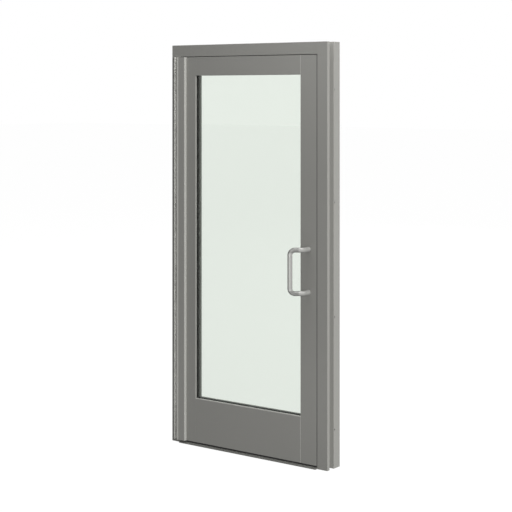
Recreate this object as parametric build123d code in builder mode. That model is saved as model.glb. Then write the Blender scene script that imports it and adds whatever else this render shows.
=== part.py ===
from build123d import *
import os

os.makedirs("parts", exist_ok=True)

# Frame tube, pocketed on its outer side
frame_width = 1041.4
frame_height = 2197.1
frame_depth = 114.3
frame_face = 63.5
frame_wall = 3.0
frame_arris = 0.8
pocket_front = 20.0
pocket_width = 38.4
pocket_depth = 30.0
anchor_radius = 4.0
anchor_inset = 5.15
anchor_low = 200.0
anchor_high = 247.1
anchor_pitch = 580.0

# Threshold
threshold_height = 8.0
threshold_proud = 17.0
threshold_reach = 100.0
threshold_nose = 4.0
threshold_slope = 14.0
threshold_leg = 16.0
threshold_skin = 4.0
flute_width = 3.0
flute_depth = 1.2
flute_pitch = 8.0
flute_count = 9

# Stops and their seals
stop_reach = 16.0
stop_depth = 20.0
stop_wall = 2.0
seal_clear = 0.3
seal_depth = 3.9
seal_width = 11.0
seal_round = 1.4

# Head clips
clip_length = 40.0
clip_height = 40.0
clip_slack = 8.0
clip_screw_radius = 3.0
clip_hole_radius = 3.3
clip_screw_head = 5.5
clip_screw_head_height = 4.0
clip_screw_bite = 12.0
clip_screw_inset = 10.0

# Leaf
leaf_gap = 3.2
leaf_lift = 7.9
leaf_thick = 57.15
stile_tube = 86.0
top_tube = 86.0
bottom_tube = 226.7
leaf_wall = 3.0
lip_reach = 15.6
lip_thick = 8.0
leaf_arris = 0.8

# Glazing
edge_gap = 3.0
gasket_thick = 3.0
gasket_lap = 1.0
lite_thick = 6.0
spacer_thick = 13.4
spacer_width = 12.0
bead_wall = 1.6
block_length = 100.0
block_share = 0.25

# Tie rods
rod_radius = 4.8
rod_hole_radius = 5.5
nut_across = 16.0
nut_height = 8.0

# Edge seal on the lock stile
edge_seal_back = 0.8
edge_seal_width = 12.0
edge_seal_thick = 2.0

# Bottom sweep
sweep_depth = 10.0
sweep_back = 1.0
sweep_clear = 0.3

# Hinge
axis_in = 25.5
axis_proud = 8.5
barrel_radius = 8.0
pin_radius = 4.0
bore_radius = 4.05
pin_cap_radius = 7.0
pin_cap_height = 2.0
knuckle_count = 11
knuckle_gap = 0.5
frame_plate_in = 35.5
frame_plate_out = 62.0
frame_plate_thick = 4.0
frame_web_lift = 0.5
door_web_in = 35.5
door_web_low = 5.5
door_web_high = 9.0
door_riser_in = 71.0
door_riser_thick = 4.0
door_floor_out = 91.0
door_floor_thick = 4.0
cover_in = 50.0
cover_out = 103.0
cover_high = 18.0
cover_crest = 22.5
cover_fall = 9.0
cover_plate = 3.5
cover_leg = 3.5
cover_clear = 0.3
cover_arris = 1.2
hinge_screw_count = 9
hinge_screw_end = 60.0
hinge_screw_in = 48.0
door_screw_in = 83.0
hinge_screw_radius = 2.5
hinge_screw_hole = 2.8
hinge_screw_head = 5.0
hinge_screw_sink = 2.5
hinge_screw_bite = 13.0
door_screw_head_height = 3.0

# Pull
pull_radius = 12.7
pull_height = 1015.0
pull_pitch = 223.0
pull_standoff = 49.0
pull_proud = 91.0
pull_offset = 53.0
pull_base_bend = 22.0
pull_grip_bend = 26.0
bolt_radius = 5.0
bolt_hole_radius = 5.3
bolt_entry = 14.0
bolt_bore = 15.0
bolt_head_radius = 8.5
bolt_head_height = 5.0
washer_radius = 12.0
washer_thick = 2.0

# Derived positions
half_width = frame_width / 2
opening_half = half_width - frame_face
head_bottom = frame_height - frame_face
front_y = -frame_depth / 2
back_y = frame_depth / 2
pocket_y0 = front_y + pocket_front
pocket_y1 = pocket_y0 + pocket_width
anchor_top = frame_height - anchor_high
anchor_heights = [anchor_low, anchor_low + anchor_pitch, anchor_top - anchor_pitch, anchor_top]
leaf_x0 = -opening_half + leaf_gap
leaf_x1 = opening_half - leaf_gap
leaf_bottom = threshold_height + leaf_lift
leaf_top = head_bottom - leaf_gap
leaf_height = leaf_top - leaf_bottom
leaf_y1 = front_y + leaf_thick
bay_x0 = leaf_x0 + stile_tube
bay_x1 = leaf_x1 - stile_tube
bay_z0 = leaf_bottom + bottom_tube
bay_z1 = leaf_top - top_tube
bay_width = bay_x1 - bay_x0
bay_height = bay_z1 - bay_z0
bay_mid = (bay_z0 + bay_z1) / 2
sight_width = bay_width - 2 * lip_reach
sight_height = bay_height - 2 * lip_reach
glass_width = bay_width - 2 * edge_gap
glass_height = bay_height - 2 * edge_gap
lip_y = front_y + lip_thick
outer_y0 = lip_y + gasket_thick
outer_y1 = outer_y0 + lite_thick
inner_y0 = outer_y1 + spacer_thick
inner_y1 = inner_y0 + lite_thick
bead_y = inner_y1 + gasket_thick
bead_depth = leaf_y1 - bead_y
stop_y0 = leaf_y1 + seal_clear + seal_depth
anchor_y = stop_y0 + anchor_inset
stop_y1 = stop_y0 + stop_depth
seal_y0 = leaf_y1 + seal_clear
stop_x = opening_half - stop_reach
stop_z = head_bottom - stop_reach
axis_x = axis_in - half_width
axis_y = front_y - axis_proud
knuckle_length = (leaf_height - (knuckle_count - 1) * knuckle_gap) / knuckle_count
knuckle_step = knuckle_length + knuckle_gap
frame_knuckles = [leaf_bottom + i * knuckle_step for i in range(0, knuckle_count, 2)]
door_knuckles = [leaf_bottom + i * knuckle_step for i in range(1, knuckle_count, 2)]
screw_span = leaf_height - 2 * hinge_screw_end
screw_step = screw_span / (hinge_screw_count - 1)
screw_heights = [leaf_bottom + hinge_screw_end + i * screw_step for i in range(hinge_screw_count)]
frame_screw_x = hinge_screw_in - half_width
door_screw_x = door_screw_in - half_width
frame_plate_y = front_y - frame_plate_thick
door_floor_y = front_y - door_floor_thick
cover_y = front_y - cover_high
pull_x = leaf_x1 - (stile_tube + lip_reach) / 2
pull_z0 = pull_height - pull_pitch / 2
pull_z1 = pull_height + pull_pitch / 2
leaf_mid_y = front_y + leaf_thick / 2
rod_top_z = (bay_z1 + leaf_top) / 2
rod_bottom_z = (leaf_bottom + bay_z0) / 2
clip_y = pocket_y1 + frame_wall + clip_slack
clip_depth = back_y - frame_wall - clip_slack - clip_y
clip_z = head_bottom + frame_wall
clip_screw_y = clip_y + clip_depth / 2
clip_screw_heights = [clip_z + clip_screw_inset, clip_z + clip_height - clip_screw_inset]

# Axis turns and corner alignments
along_x = (0, 90, 0)
along_y = (90, 0, 0)
corner = (Align.MIN, Align.MIN)
block = (Align.MIN, Align.MIN, Align.MIN)
upright = (Align.CENTER, Align.CENTER, Align.MIN)


def jamb_outline(side):
    """Outline of a jamb tube, pocket on the outer side; side is -1 or 1."""
    outer = side * half_width
    inner = side * opening_half
    pocket = side * (half_width - pocket_depth)
    return [
        (outer, front_y), (inner, front_y), (inner, back_y), (outer, back_y),
        (outer, pocket_y1), (pocket, pocket_y1), (pocket, pocket_y0), (outer, pocket_y0),
    ]


with BuildPart() as jamb_hinge:
    with BuildSketch() as jamb_hinge_section:
        with BuildLine():
            Polyline(*jamb_outline(-1), close=True)
        make_face()
        offset(amount=-frame_wall, kind=Kind.INTERSECTION, mode=Mode.SUBTRACT)
        fillet(jamb_hinge_section.face().outer_wire().vertices(), radius=frame_arris)
    extrude(amount=frame_height)
    with Locations(*[(-half_width, anchor_y, z) for z in anchor_heights]):
        Cylinder(anchor_radius, frame_face * 3, rotation=along_x, mode=Mode.SUBTRACT)
    with Locations(*[(-opening_half, clip_screw_y, z) for z in clip_screw_heights]):
        Cylinder(clip_hole_radius, frame_wall * 4, rotation=along_x, mode=Mode.SUBTRACT)
    with Locations(*[(frame_screw_x, front_y, z) for z in screw_heights]):
        Cylinder(hinge_screw_hole, frame_wall * 4, rotation=along_y, mode=Mode.SUBTRACT)
jamb_hinge.part.label = "jamb_hinge"
export_step(jamb_hinge.part, "parts/jamb_hinge.step")

with BuildPart() as jamb_lock:
    with BuildSketch() as jamb_lock_section:
        with BuildLine():
            Polyline(*jamb_outline(1), close=True)
        make_face()
        offset(amount=-frame_wall, kind=Kind.INTERSECTION, mode=Mode.SUBTRACT)
        fillet(jamb_lock_section.face().outer_wire().vertices(), radius=frame_arris)
    extrude(amount=frame_height)
    with Locations(*[(half_width, anchor_y, z) for z in anchor_heights]):
        Cylinder(anchor_radius, frame_face * 3, rotation=along_x, mode=Mode.SUBTRACT)
    with Locations(*[(opening_half, clip_screw_y, z) for z in clip_screw_heights]):
        Cylinder(clip_hole_radius, frame_wall * 4, rotation=along_x, mode=Mode.SUBTRACT)
jamb_lock.part.label = "jamb_lock"
export_step(jamb_lock.part, "parts/jamb_lock.step")

with BuildPart() as head:
    with BuildSketch(Plane.YZ.offset(-opening_half)) as head_section:
        with BuildLine():
            Polyline(
                (front_y, head_bottom), (back_y, head_bottom), (back_y, frame_height),
                (pocket_y1, frame_height), (pocket_y1, frame_height - pocket_depth),
                (pocket_y0, frame_height - pocket_depth), (pocket_y0, frame_height),
                (front_y, frame_height), close=True,
            )
        make_face()
        offset(amount=-frame_wall, kind=Kind.INTERSECTION, mode=Mode.SUBTRACT)
        fillet(head_section.face().outer_wire().vertices(), radius=frame_arris)
    extrude(amount=2 * opening_half)
head.part.label = "head"
export_step(head.part, "parts/head.step")

with BuildPart() as threshold:
    with BuildSketch(Plane.YZ.offset(-opening_half)):
        nose_y = front_y - threshold_proud
        tail_y = front_y + threshold_reach
        with BuildLine():
            Polyline(
                (nose_y, 0), (tail_y, 0), (tail_y, threshold_nose),
                (tail_y - threshold_slope, threshold_height),
                (nose_y + threshold_slope, threshold_height), (nose_y, threshold_nose), close=True,
            )
        make_face()
        hollow_y0 = nose_y + threshold_leg
        hollow_y1 = tail_y - threshold_leg
        hollow_z = threshold_height - threshold_skin
        with Locations((hollow_y0, 0)):
            Rectangle(-threshold_leg / 2 - hollow_y0, hollow_z, align=corner, mode=Mode.SUBTRACT)
        with Locations((threshold_leg / 2, 0)):
            Rectangle(hollow_y1 - threshold_leg / 2, hollow_z, align=corner, mode=Mode.SUBTRACT)
        with Locations((0, threshold_height)):
            with GridLocations(flute_pitch, flute_pitch, flute_count, 1):
                Rectangle(flute_width, flute_depth * 2, mode=Mode.SUBTRACT)
    extrude(amount=2 * opening_half)
threshold.part.label = "threshold"
export_step(threshold.part, "parts/threshold.step")

with BuildPart() as stop_hinge:
    with BuildSketch(Plane.XY.offset(threshold_height)) as stop_hinge_section:
        with Locations((-opening_half, stop_y0)):
            Rectangle(stop_reach, stop_depth, align=corner)
        offset(amount=-stop_wall, kind=Kind.INTERSECTION, mode=Mode.SUBTRACT)
        fillet(stop_hinge_section.face().outer_wire().vertices(), radius=frame_arris)
    extrude(amount=head_bottom - threshold_height)
stop_hinge.part.label = "stop_hinge"
export_step(stop_hinge.part, "parts/stop_hinge.step")

with BuildPart() as stop_lock:
    with BuildSketch(Plane.XY.offset(threshold_height)) as stop_lock_section:
        with Locations((stop_x, stop_y0)):
            Rectangle(stop_reach, stop_depth, align=corner)
        offset(amount=-stop_wall, kind=Kind.INTERSECTION, mode=Mode.SUBTRACT)
        fillet(stop_lock_section.face().outer_wire().vertices(), radius=frame_arris)
    extrude(amount=head_bottom - threshold_height)
stop_lock.part.label = "stop_lock"
export_step(stop_lock.part, "parts/stop_lock.step")

with BuildPart() as stop_head:
    with BuildSketch(Plane.YZ.offset(-stop_x)) as stop_head_section:
        with Locations((stop_y0, stop_z)):
            Rectangle(stop_depth, stop_reach, align=corner)
        offset(amount=-stop_wall, kind=Kind.INTERSECTION, mode=Mode.SUBTRACT)
        fillet(stop_head_section.face().outer_wire().vertices(), radius=frame_arris)
    extrude(amount=2 * stop_x)
stop_head.part.label = "stop_head"
export_step(stop_head.part, "parts/stop_head.step")

seal_thick = stop_y0 - seal_y0
seal_inset = (stop_reach - seal_width) / 2

with BuildPart() as seal_hinge:
    with BuildSketch(Plane.XY.offset(threshold_height)) as seal_hinge_section:
        with Locations((-opening_half + seal_inset, seal_y0)):
            Rectangle(seal_width, seal_thick, align=corner)
        fillet(seal_hinge_section.vertices().group_by(Axis.Y)[0], radius=seal_round)
    extrude(amount=stop_z - threshold_height)
seal_hinge.part.label = "seal_hinge"
export_step(seal_hinge.part, "parts/seal_hinge.step")

with BuildPart() as seal_lock:
    with BuildSketch(Plane.XY.offset(threshold_height)) as seal_lock_section:
        with Locations((stop_x + seal_inset, seal_y0)):
            Rectangle(seal_width, seal_thick, align=corner)
        fillet(seal_lock_section.vertices().group_by(Axis.Y)[0], radius=seal_round)
    extrude(amount=stop_z - threshold_height)
seal_lock.part.label = "seal_lock"
export_step(seal_lock.part, "parts/seal_lock.step")

with BuildPart() as seal_head:
    with BuildSketch(Plane.YZ.offset(-stop_x)) as seal_head_section:
        with Locations((seal_y0, stop_z + seal_inset)):
            Rectangle(seal_thick, seal_width, align=corner)
        fillet(seal_head_section.vertices().group_by(Axis.X)[0], radius=seal_round)
    extrude(amount=2 * stop_x)
seal_head.part.label = "seal_head"
export_step(seal_head.part, "parts/seal_head.step")

with BuildPart() as head_clip_hinge:
    with BuildSketch(Plane.XY.offset(clip_z)):
        with Locations((-opening_half, clip_y)):
            Rectangle(clip_length, clip_depth, align=corner)
    extrude(amount=clip_height)
    with Locations(*[(-opening_half, clip_screw_y, z) for z in clip_screw_heights]):
        Cylinder(clip_hole_radius, clip_length * 3, rotation=along_x, mode=Mode.SUBTRACT)
head_clip_hinge.part.label = "head_clip_hinge"
export_step(head_clip_hinge.part, "parts/head_clip_hinge.step")

with BuildPart() as head_clip_lock:
    with BuildSketch(Plane.XY.offset(clip_z)):
        with Locations((opening_half - clip_length, clip_y)):
            Rectangle(clip_length, clip_depth, align=corner)
    extrude(amount=clip_height)
    with Locations(*[(opening_half, clip_screw_y, z) for z in clip_screw_heights]):
        Cylinder(clip_hole_radius, clip_length * 3, rotation=along_x, mode=Mode.SUBTRACT)
head_clip_lock.part.label = "head_clip_lock"
export_step(head_clip_lock.part, "parts/head_clip_lock.step")

with BuildPart() as head_clip_screws:
    clip_face = opening_half - clip_length
    clip_shank = clip_length + clip_screw_bite
    with BuildSketch(Plane.YZ.offset(clip_face - clip_screw_head_height)):
        with Locations(*[(clip_screw_y, z) for z in clip_screw_heights]):
            Circle(clip_screw_head)
    extrude(amount=clip_screw_head_height)
    with BuildSketch(Plane.YZ.offset(clip_face)):
        with Locations(*[(clip_screw_y, z) for z in clip_screw_heights]):
            Circle(clip_screw_radius)
    extrude(amount=clip_shank)
    mirror(about=Plane.YZ)
head_clip_screws.part.label = "head_clip_screws"
export_step(head_clip_screws.part, "parts/head_clip_screws.step")

frame_plate_width = frame_plate_out - frame_plate_in
frame_web_width = frame_plate_in - axis_in

with BuildPart() as hinge_leaf_frame:
    with BuildSketch(Plane.XY.offset(leaf_bottom)) as frame_plate_section:
        with Locations((frame_plate_in - half_width, frame_plate_y)):
            Rectangle(frame_plate_width, frame_plate_thick, align=corner)
    extrude(amount=leaf_height)
    for knuckle_z in frame_knuckles:
        with BuildSketch(Plane.XY.offset(knuckle_z)):
            with Locations((axis_x, axis_y)):
                Circle(barrel_radius)
            with Locations((axis_x, frame_plate_y)):
                Rectangle(frame_web_width, frame_plate_thick - frame_web_lift, align=corner)
        extrude(amount=knuckle_length)
    with Locations((axis_x, axis_y, leaf_bottom)):
        Cylinder(bore_radius, leaf_height, align=upright, mode=Mode.SUBTRACT)
    with Locations(*[(frame_screw_x, frame_plate_y, z) for z in screw_heights]):
        Cylinder(hinge_screw_hole, frame_plate_thick * 3, rotation=along_y, mode=Mode.SUBTRACT)
    with Locations(*[(frame_screw_x, frame_plate_y + hinge_screw_sink / 2, z) for z in screw_heights]):
        Cone(hinge_screw_hole, hinge_screw_head, hinge_screw_sink, rotation=along_y, mode=Mode.SUBTRACT)
hinge_leaf_frame.part.label = "hinge_leaf_frame"
export_step(hinge_leaf_frame.part, "parts/hinge_leaf_frame.step")

with BuildPart() as hinge_frame_screws:
    with Locations(*[(frame_screw_x, frame_plate_y + hinge_screw_sink / 2, z) for z in screw_heights]):
        Cone(hinge_screw_hole, hinge_screw_head, hinge_screw_sink, rotation=along_y)
    screw_tip_y = frame_plate_y + hinge_screw_sink + hinge_screw_bite
    with BuildSketch(Plane.XZ.offset(-screw_tip_y)):
        with Locations(*[(frame_screw_x, z) for z in screw_heights]):
            Circle(hinge_screw_radius)
    extrude(amount=hinge_screw_bite)
hinge_frame_screws.part.label = "hinge_frame_screws"
export_step(hinge_frame_screws.part, "parts/hinge_frame_screws.step")

with BuildPart() as hinge_pin:
    with BuildSketch(Plane.XY.offset(leaf_bottom)):
        with Locations((axis_x, axis_y)):
            Circle(pin_radius)
    extrude(amount=leaf_height)
    with BuildSketch(Plane.XY.offset(leaf_top)):
        with Locations((axis_x, axis_y)):
            Circle(pin_cap_radius)
    extrude(amount=pin_cap_height)
hinge_pin.part.label = "hinge_pin"
export_step(hinge_pin.part, "parts/hinge_pin.step")

with BuildPart() as stile_hinge:
    with BuildSketch(Plane.XY.offset(leaf_bottom)) as stile_hinge_section:
        with Locations((leaf_x0, front_y)):
            Rectangle(stile_tube, leaf_thick, align=corner)
        with Locations((leaf_x0, front_y)):
            Rectangle(stile_tube + lip_reach, lip_thick, align=corner)
        with Locations((leaf_x0 + leaf_wall, front_y + leaf_wall)):
            Rectangle(
                stile_tube - 2 * leaf_wall, leaf_thick - 2 * leaf_wall, align=corner, mode=Mode.SUBTRACT
            )
        stile_hinge_rows = stile_hinge_section.vertices().group_by(Axis.Y)
        fillet(stile_hinge_rows[0] + stile_hinge_rows[-1], radius=leaf_arris)
    extrude(amount=leaf_height)
    with Locations((bay_x0, leaf_mid_y, rod_top_z), (bay_x0, leaf_mid_y, rod_bottom_z)):
        Cylinder(rod_hole_radius, leaf_wall * 4, rotation=along_x, mode=Mode.SUBTRACT)
    with Locations(*[(door_screw_x, front_y, z) for z in screw_heights]):
        Cylinder(hinge_screw_hole, leaf_wall * 4, rotation=along_y, mode=Mode.SUBTRACT)
stile_hinge.part.label = "stile_hinge"
export_step(stile_hinge.part, "parts/stile_hinge.step")

with BuildPart() as stile_lock:
    with BuildSketch(Plane.XY.offset(leaf_bottom)) as stile_lock_section:
        with Locations((bay_x1, front_y)):
            Rectangle(stile_tube, leaf_thick, align=corner)
        with Locations((bay_x1 - lip_reach, front_y)):
            Rectangle(stile_tube + lip_reach, lip_thick, align=corner)
        with Locations((bay_x1 + leaf_wall, front_y + leaf_wall)):
            Rectangle(
                stile_tube - 2 * leaf_wall, leaf_thick - 2 * leaf_wall, align=corner, mode=Mode.SUBTRACT
            )
        stile_lock_rows = stile_lock_section.vertices().group_by(Axis.Y)
        fillet(stile_lock_rows[0] + stile_lock_rows[-1], radius=leaf_arris)
    extrude(amount=leaf_height)
    with Locations((bay_x1, leaf_mid_y, rod_top_z), (bay_x1, leaf_mid_y, rod_bottom_z)):
        Cylinder(rod_hole_radius, leaf_wall * 4, rotation=along_x, mode=Mode.SUBTRACT)
    with Locations((pull_x, leaf_mid_y, pull_z0), (pull_x, leaf_mid_y, pull_z1)):
        Cylinder(bolt_hole_radius, leaf_thick * 2, rotation=along_y, mode=Mode.SUBTRACT)
stile_lock.part.label = "stile_lock"
export_step(stile_lock.part, "parts/stile_lock.step")

with BuildPart() as rail_top:
    with BuildSketch(Plane.YZ.offset(bay_x0)) as rail_top_section:
        with Locations((front_y, bay_z1)):
            Rectangle(leaf_thick, top_tube, align=corner)
        with Locations((front_y, bay_z1 - lip_reach)):
            Rectangle(lip_thick, top_tube + lip_reach, align=corner)
        with Locations((front_y + leaf_wall, bay_z1 + leaf_wall)):
            Rectangle(
                leaf_thick - 2 * leaf_wall, top_tube - 2 * leaf_wall, align=corner, mode=Mode.SUBTRACT
            )
        rail_top_rows = rail_top_section.vertices().group_by(Axis.X)
        fillet(rail_top_rows[0] + rail_top_rows[-1], radius=leaf_arris)
    extrude(amount=bay_width)
    rail_top_low = bay_z1 - lip_reach
    with Locations((bay_x0, front_y, rail_top_low), (bay_x1 - lip_reach, front_y, rail_top_low)):
        Box(lip_reach, lip_thick, top_tube + lip_reach, align=block, mode=Mode.SUBTRACT)
rail_top.part.label = "rail_top"
export_step(rail_top.part, "parts/rail_top.step")

with BuildPart() as rail_bottom:
    with BuildSketch(Plane.YZ.offset(bay_x0)) as rail_bottom_section:
        with Locations((front_y, leaf_bottom)):
            Rectangle(leaf_thick, bottom_tube, align=corner)
        with Locations((front_y, leaf_bottom)):
            Rectangle(lip_thick, bottom_tube + lip_reach, align=corner)
        with Locations((front_y + leaf_wall, leaf_bottom + leaf_wall)):
            Rectangle(
                leaf_thick - 2 * leaf_wall, bottom_tube - 2 * leaf_wall, align=corner, mode=Mode.SUBTRACT
            )
        rail_bottom_rows = rail_bottom_section.vertices().group_by(Axis.X)
        fillet(rail_bottom_rows[0] + rail_bottom_rows[-1], radius=leaf_arris)
    extrude(amount=bay_width)
    with Locations((bay_x0, front_y, leaf_bottom), (bay_x1 - lip_reach, front_y, leaf_bottom)):
        Box(lip_reach, lip_thick, bottom_tube + lip_reach, align=block, mode=Mode.SUBTRACT)
rail_bottom.part.label = "rail_bottom"
export_step(rail_bottom.part, "parts/rail_bottom.step")

with BuildPart() as gasket_outer:
    with BuildSketch(Plane.XZ.offset(-outer_y0)):
        with Locations((0, bay_mid)):
            Rectangle(glass_width - 2 * gasket_lap, glass_height - 2 * gasket_lap)
            Rectangle(sight_width, sight_height, mode=Mode.SUBTRACT)
    extrude(amount=gasket_thick)
gasket_outer.part.label = "gasket_outer"
export_step(gasket_outer.part, "parts/gasket_outer.step")

with BuildPart() as glass_outer:
    with BuildSketch(Plane.XZ.offset(-outer_y1)):
        with Locations((0, bay_mid)):
            Rectangle(glass_width, glass_height)
    extrude(amount=lite_thick)
glass_outer.part.label = "glass_outer"
export_step(glass_outer.part, "parts/glass_outer.step")

with BuildPart() as glass_spacer:
    with BuildSketch(Plane.XZ.offset(-inner_y0)):
        with Locations((0, bay_mid)):
            Rectangle(glass_width, glass_height)
            Rectangle(
                glass_width - 2 * spacer_width, glass_height - 2 * spacer_width, mode=Mode.SUBTRACT
            )
    extrude(amount=spacer_thick)
glass_spacer.part.label = "glass_spacer"
export_step(glass_spacer.part, "parts/glass_spacer.step")

with BuildPart() as glass_inner:
    with BuildSketch(Plane.XZ.offset(-inner_y1)):
        with Locations((0, bay_mid)):
            Rectangle(glass_width, glass_height)
    extrude(amount=lite_thick)
glass_inner.part.label = "glass_inner"
export_step(glass_inner.part, "parts/glass_inner.step")

with BuildPart() as gasket_inner:
    with BuildSketch(Plane.XZ.offset(-bead_y)):
        with Locations((0, bay_mid)):
            Rectangle(glass_width - 2 * gasket_lap, glass_height - 2 * gasket_lap)
            Rectangle(sight_width, sight_height, mode=Mode.SUBTRACT)
    extrude(amount=gasket_thick)
gasket_inner.part.label = "gasket_inner"
export_step(gasket_inner.part, "parts/gasket_inner.step")

with BuildPart() as bead_top:
    with BuildSketch(Plane.YZ.offset(bay_x0)) as bead_top_section:
        with Locations((bead_y, bay_z1 - lip_reach)):
            Rectangle(bead_depth, lip_reach, align=corner)
        offset(amount=-bead_wall, kind=Kind.INTERSECTION, mode=Mode.SUBTRACT)
    extrude(amount=bay_width)
bead_top.part.label = "bead_top"
export_step(bead_top.part, "parts/bead_top.step")

with BuildPart() as bead_bottom:
    with BuildSketch(Plane.YZ.offset(bay_x0)) as bead_bottom_section:
        with Locations((bead_y, bay_z0)):
            Rectangle(bead_depth, lip_reach, align=corner)
        offset(amount=-bead_wall, kind=Kind.INTERSECTION, mode=Mode.SUBTRACT)
    extrude(amount=bay_width)
bead_bottom.part.label = "bead_bottom"
export_step(bead_bottom.part, "parts/bead_bottom.step")

with BuildPart() as bead_hinge:
    with BuildSketch(Plane.XY.offset(bay_z0 + lip_reach)):
        with Locations((bay_x0, bead_y)):
            Rectangle(lip_reach, bead_depth, align=corner)
        offset(amount=-bead_wall, kind=Kind.INTERSECTION, mode=Mode.SUBTRACT)
    extrude(amount=sight_height)
bead_hinge.part.label = "bead_hinge"
export_step(bead_hinge.part, "parts/bead_hinge.step")

with BuildPart() as bead_lock:
    with BuildSketch(Plane.XY.offset(bay_z0 + lip_reach)):
        with Locations((bay_x1 - lip_reach, bead_y)):
            Rectangle(lip_reach, bead_depth, align=corner)
        offset(amount=-bead_wall, kind=Kind.INTERSECTION, mode=Mode.SUBTRACT)
    extrude(amount=sight_height)
bead_lock.part.label = "bead_lock"
export_step(bead_lock.part, "parts/bead_lock.step")

with BuildPart() as setting_blocks:
    with BuildSketch(Plane.XY.offset(bay_z0)):
        with Locations((-glass_width * block_share, outer_y0), (glass_width * block_share, outer_y0)):
            Rectangle(block_length, inner_y1 - outer_y0, align=(Align.CENTER, Align.MIN))
    extrude(amount=edge_gap)
setting_blocks.part.label = "setting_blocks"
export_step(setting_blocks.part, "parts/setting_blocks.step")

rod_x0 = bay_x0 - leaf_wall
rod_length = bay_width + 2 * leaf_wall

with BuildPart() as tie_rod_top:
    with BuildSketch(Plane.YZ.offset(rod_x0)):
        with Locations((leaf_mid_y, rod_top_z)):
            Circle(rod_radius)
    extrude(amount=rod_length)
tie_rod_top.part.label = "tie_rod_top"
export_step(tie_rod_top.part, "parts/tie_rod_top.step")

with BuildPart() as tie_rod_bottom:
    with BuildSketch(Plane.YZ.offset(rod_x0)):
        with Locations((leaf_mid_y, rod_bottom_z)):
            Circle(rod_radius)
    extrude(amount=rod_length)
tie_rod_bottom.part.label = "tie_rod_bottom"
export_step(tie_rod_bottom.part, "parts/tie_rod_bottom.step")

with BuildPart() as tie_nuts:
    with BuildSketch(Plane.YZ.offset(rod_x0 - nut_height)):
        with Locations((leaf_mid_y, rod_top_z), (leaf_mid_y, rod_bottom_z)):
            RegularPolygon(nut_across / 2, 6, major_radius=False)
    extrude(amount=nut_height)
    mirror(about=Plane.YZ)
tie_nuts.part.label = "tie_nuts"
export_step(tie_nuts.part, "parts/tie_nuts.step")

with BuildPart() as bottom_sweep:
    with BuildSketch(Plane.YZ.offset(leaf_x0)) as sweep_section:
        with Locations((front_y + sweep_back, threshold_height + sweep_clear)):
            Rectangle(sweep_depth, leaf_lift - sweep_clear, align=corner)
    extrude(amount=leaf_x1 - leaf_x0)
bottom_sweep.part.label = "bottom_sweep"
export_step(bottom_sweep.part, "parts/bottom_sweep.step")

with BuildPart() as edge_seal:
    with BuildSketch(Plane.XY.offset(leaf_bottom)):
        with Locations((leaf_x1, front_y + edge_seal_back)):
            Rectangle(edge_seal_thick, edge_seal_width, align=corner)
    extrude(amount=leaf_height)
edge_seal.part.label = "edge_seal"
export_step(edge_seal.part, "parts/edge_seal.step")

with BuildPart() as hinge_leaf_door:
    with BuildSketch(Plane.XY.offset(leaf_bottom)):
        web_y = front_y - door_web_high
        riser_x = door_riser_in - half_width
        with Locations((door_web_in - half_width, web_y)):
            Rectangle(door_riser_in - door_web_in, door_web_high - door_web_low, align=corner)
        with Locations((riser_x, web_y)):
            Rectangle(door_riser_thick, door_web_high, align=corner)
        with Locations((riser_x, door_floor_y)):
            Rectangle(door_floor_out - door_riser_in, door_floor_thick, align=corner)
    extrude(amount=leaf_height)
    for knuckle_z in door_knuckles:
        with BuildSketch(Plane.XY.offset(knuckle_z)):
            with Locations((axis_x, axis_y)):
                Circle(barrel_radius)
            with Locations((axis_x, web_y)):
                Rectangle(door_web_in - axis_in, door_web_high - door_web_low, align=corner)
        extrude(amount=knuckle_length)
    with Locations((axis_x, axis_y, leaf_bottom)):
        Cylinder(bore_radius, leaf_height, align=upright, mode=Mode.SUBTRACT)
    with Locations(*[(door_screw_x, door_floor_y, z) for z in screw_heights]):
        Cylinder(hinge_screw_hole, door_floor_thick * 3, rotation=along_y, mode=Mode.SUBTRACT)
hinge_leaf_door.part.label = "hinge_leaf_door"
export_step(hinge_leaf_door.part, "parts/hinge_leaf_door.step")

with BuildPart() as hinge_door_screws:
    with BuildSketch(Plane.XZ.offset(-door_floor_y)):
        with Locations(*[(door_screw_x, z) for z in screw_heights]):
            Circle(hinge_screw_head)
    extrude(amount=door_screw_head_height)
    with BuildSketch(Plane.XZ.offset(-door_floor_y - hinge_screw_bite)):
        with Locations(*[(door_screw_x, z) for z in screw_heights]):
            Circle(hinge_screw_radius)
    extrude(amount=hinge_screw_bite)
hinge_door_screws.part.label = "hinge_door_screws"
export_step(hinge_door_screws.part, "parts/hinge_door_screws.step")

with BuildPart() as hinge_leaf_cover:
    with BuildSketch(Plane.XY.offset(leaf_bottom)) as cover_section:
        cover_x0 = cover_in - half_width
        cover_x1 = cover_out - half_width
        cover_back = front_y - door_web_high
        with BuildLine():
            Polyline(
                (cover_x0, cover_back), (cover_x0, front_y - cover_crest), (cover_x0 + cover_fall, cover_y),
                (cover_x1, cover_y), (cover_x1, front_y - cover_clear),
                (cover_x1 - cover_leg, front_y - cover_clear), (cover_x1 - cover_leg, cover_y + cover_plate),
                (cover_x0 + cover_leg, cover_y + cover_plate), (cover_x0 + cover_leg, cover_back), close=True,
            )
        make_face()
        cover_rows = cover_section.vertices().group_by(Axis.Y)
        fillet(cover_rows[0] + cover_rows[1], radius=cover_arris)
    extrude(amount=leaf_height)
hinge_leaf_cover.part.label = "hinge_leaf_cover"
export_step(hinge_leaf_cover.part, "parts/hinge_leaf_cover.step")

pull_arm_y = front_y - pull_standoff
pull_grip_y = front_y - pull_proud
pull_grip_x = pull_x - pull_offset

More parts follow.
